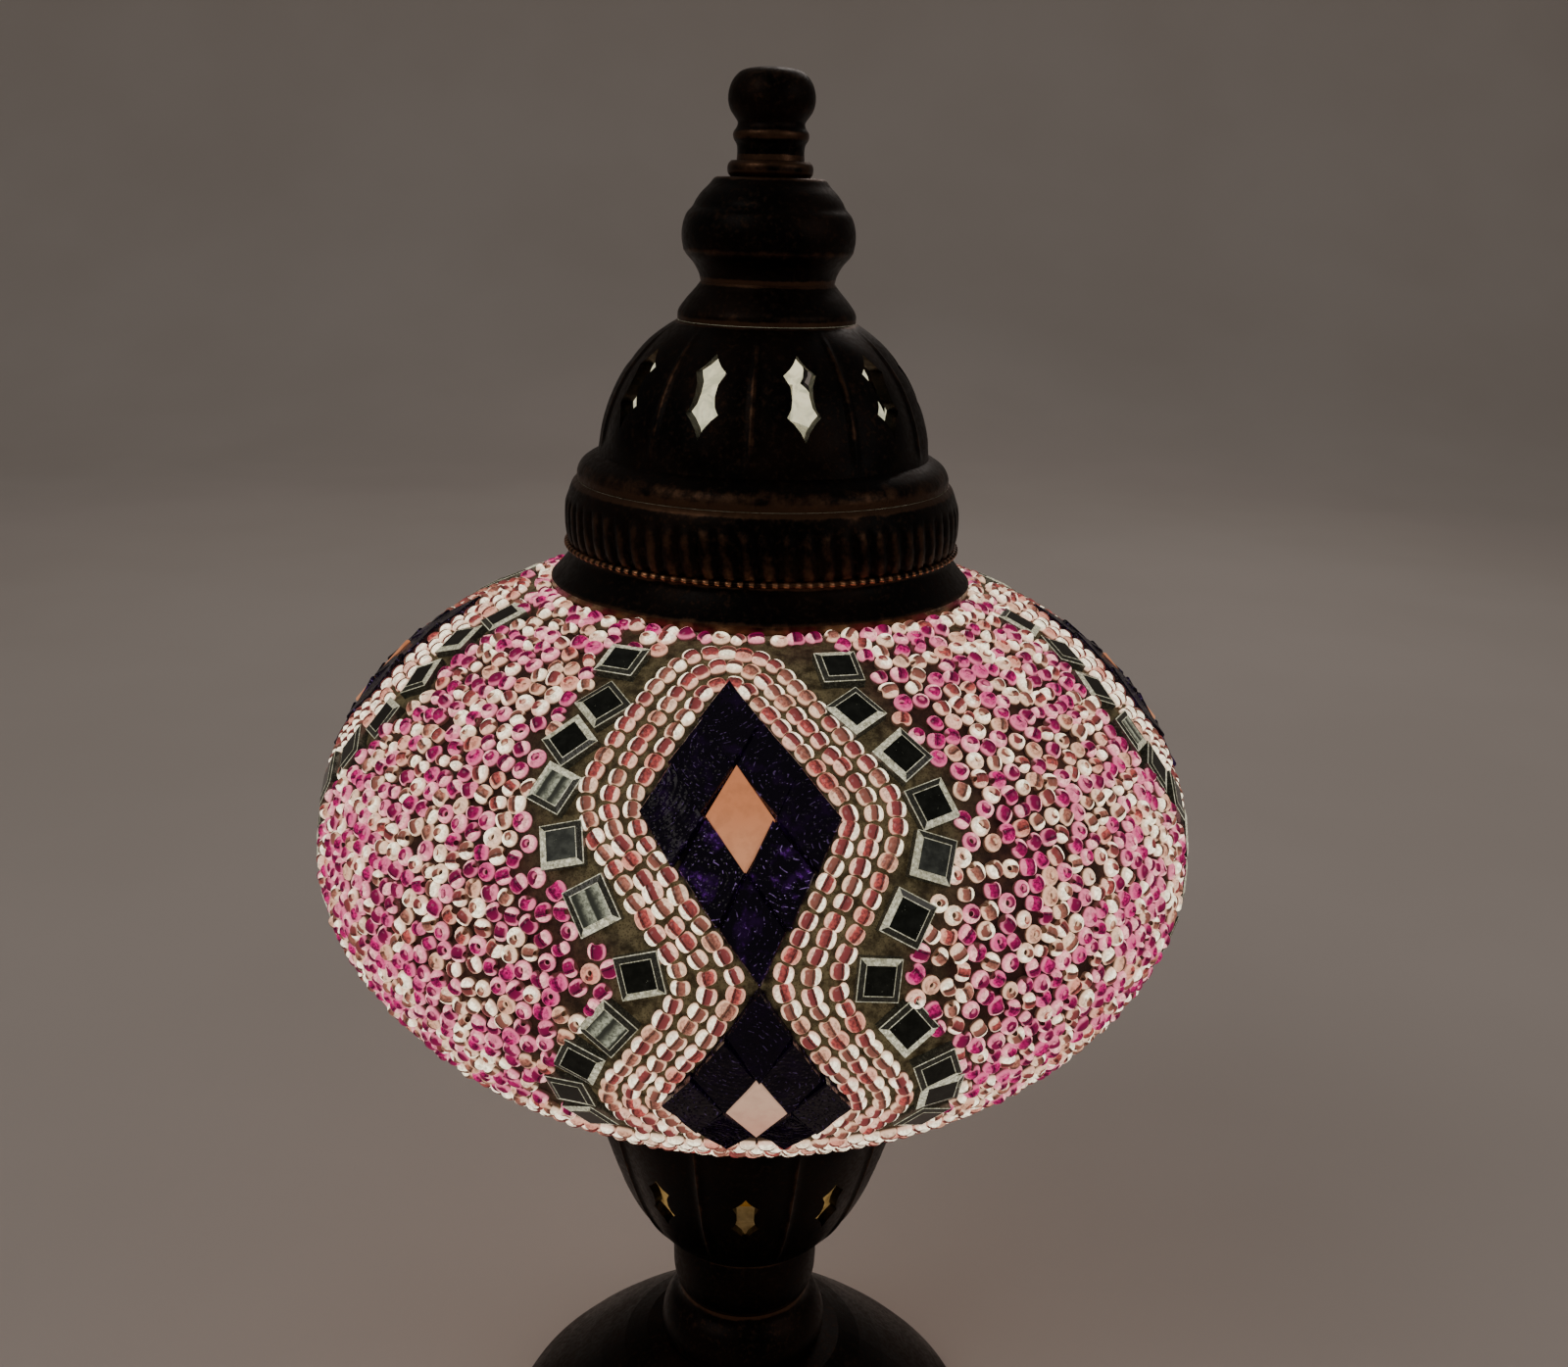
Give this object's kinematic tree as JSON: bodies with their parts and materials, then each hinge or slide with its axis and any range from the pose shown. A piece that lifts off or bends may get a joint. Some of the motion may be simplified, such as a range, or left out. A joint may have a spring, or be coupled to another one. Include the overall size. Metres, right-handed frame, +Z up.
{
  "type": "mosaic glass table lamp",
  "caption": "Table lamp with a squat beaded glass globe in a diamond mosaic, a pierced dark metal cap with screw finial, and a turned stem on a domed foot.",
  "frame": {"origin": "centre of the felt's underside, on the table", "axes": "+Z up the lamp's axis, -Y towards the front medallion, +Y towards the cord inlet"},
  "size_m": [0.1944, 0.1944, 0.3335],
  "materials": {
    "antique_bronze": "dark patinated, semi-gloss, rubbed copper-brown on the edges",
    "felt": "pressed wool felt",
    "rubber": "matt moulded",
    "cast_weight": "as cast",
    "gasket": "translucent silicone",
    "zinc_steel": "zinc plated",
    "brass": "satin",
    "holder_white": "moulded",
    "bulb_metal": "spun",
    "bulb_glass": "clear",
    "filament": "phosphor coated",
    "blown_glass": "clear blown",
    "grout": "cement-like, olive brown",
    "bead_magenta": "transparent seed bead",
    "bead_rose": "transparent seed bead",
    "bead_pale": "transparent seed bead",
    "mirror_glass": "silvered, bevelled edges",
    "purple_glass": "hammered, glossy",
    "peach_glass": "opal, glossy"
  },
  "bodies": {
    "base": {"felt_pad": "felt", "foot_casting": "antique_bronze", "cord_grommet": "rubber", "weight_plate": "cast_weight", "tube_washer": "zinc_steel", "tube_nut": "zinc_steel", "centre_tube": "zinc_steel", "stem_bulge": "antique_bronze", "stem_collar": "antique_bronze", "lower_cup": "antique_bronze", "cup_gasket": "gasket", "cup_washer": "zinc_steel", "cup_nut": "zinc_steel", "tube_spacer": "brass", "tie_saddle": "zinc_steel", "tie_sleeves": "brass", "tie_frame": "zinc_steel", "top_stud": "zinc_steel", "stud_nuts": "zinc_steel", "lampholder_shell": "holder_white", "lampholder_core": "holder_white", "screw_shell": "brass", "centre_contact": "brass", "terminal_screws": "brass"},
    "bulb_lift": {"bulb_tip": "bulb_metal"},
    "bulb": {"bulb_cap": "bulb_metal", "bulb_glass": "bulb_glass", "bulb_filament": "filament"},
    "globe": {"glass_globe": "blown_glass", "grout_layer": "grout", "field_beads": "bead_magenta", "border_beads": "bead_rose", "foot_ring_beads": "bead_pale", "mirror_squares": "mirror_glass", "purple_rhombs": "purple_glass", "peach_rhombs": "peach_glass"},
    "cap": {"cap_gasket": "gasket", "cap_skirt": "antique_bronze", "cap_band": "antique_bronze", "cap_dome": "antique_bronze", "cap_collar": "antique_bronze", "cap_bell": "antique_bronze"},
    "finial_lift": {"finial_washer": "antique_bronze"},
    "finial": {"finial_knob": "antique_bronze"}
  },
  "joints": [
    {"name": "globe_lift", "type": "slide", "parent": "base", "child": "globe", "axis": [0, 0, 1], "range_m": [0, 0.225]},
    {"name": "cap_lift", "type": "slide", "parent": "globe", "child": "cap", "axis": [0, 0, 1], "range_m": [0, 0.115]},
    {"name": "finial_rise", "type": "slide", "parent": "cap", "child": "finial_lift", "axis": [0, 0, 1], "range_m": [0, 0.0121]},
    {"name": "finial_turn", "type": "hinge", "parent": "finial_lift", "child": "finial", "pos_m": [0, 0, 0.32], "axis": [0, 0, 1], "range_deg": [0, 4320]},
    {"name": "bulb_rise", "type": "slide", "parent": "base", "child": "bulb_lift", "axis": [0, 0, 1], "range_m": [0, 0.01]},
    {"name": "bulb_turn", "type": "hinge", "parent": "bulb_lift", "child": "bulb", "pos_m": [0, 0, 0.11], "axis": [0, 0, 1], "range_deg": [0, 1260]}
  ],
  "couplings": [
    {"joint": "finial_rise", "follows": "finial_turn", "m_per_rad": 0.00015915},
    {"joint": "bulb_rise", "follows": "bulb_turn", "m_per_rad": 0.00044882}
  ]
}
